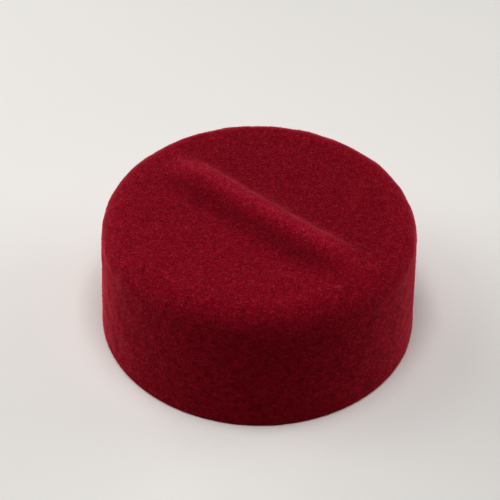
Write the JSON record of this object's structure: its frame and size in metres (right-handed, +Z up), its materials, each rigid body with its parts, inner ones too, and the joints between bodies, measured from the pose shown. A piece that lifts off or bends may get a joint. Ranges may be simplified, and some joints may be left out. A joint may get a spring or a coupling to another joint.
{
  "type": "chechia cap",
  "caption": "Low round brimless felt cap for the head, open below, with upright sides, a flat crown with a soft round edge and a raised crease across the crown.",
  "frame": {"origin": "centre of the rim, on the plane that the cap stands on", "axes": "+Z up along the cap's axis, -Y towards the front of the cap, and the crown's crease runs along Y"},
  "size_m": [0.1874, 0.1874, 0.0871],
  "materials": {
    "wool_felt": "fulled and brushed dark red wool felt, matt, with a short fuzzy nap"
  },
  "bodies": {
    "root": {"felt_cap": "wool_felt"}
  },
  "joints": []
}
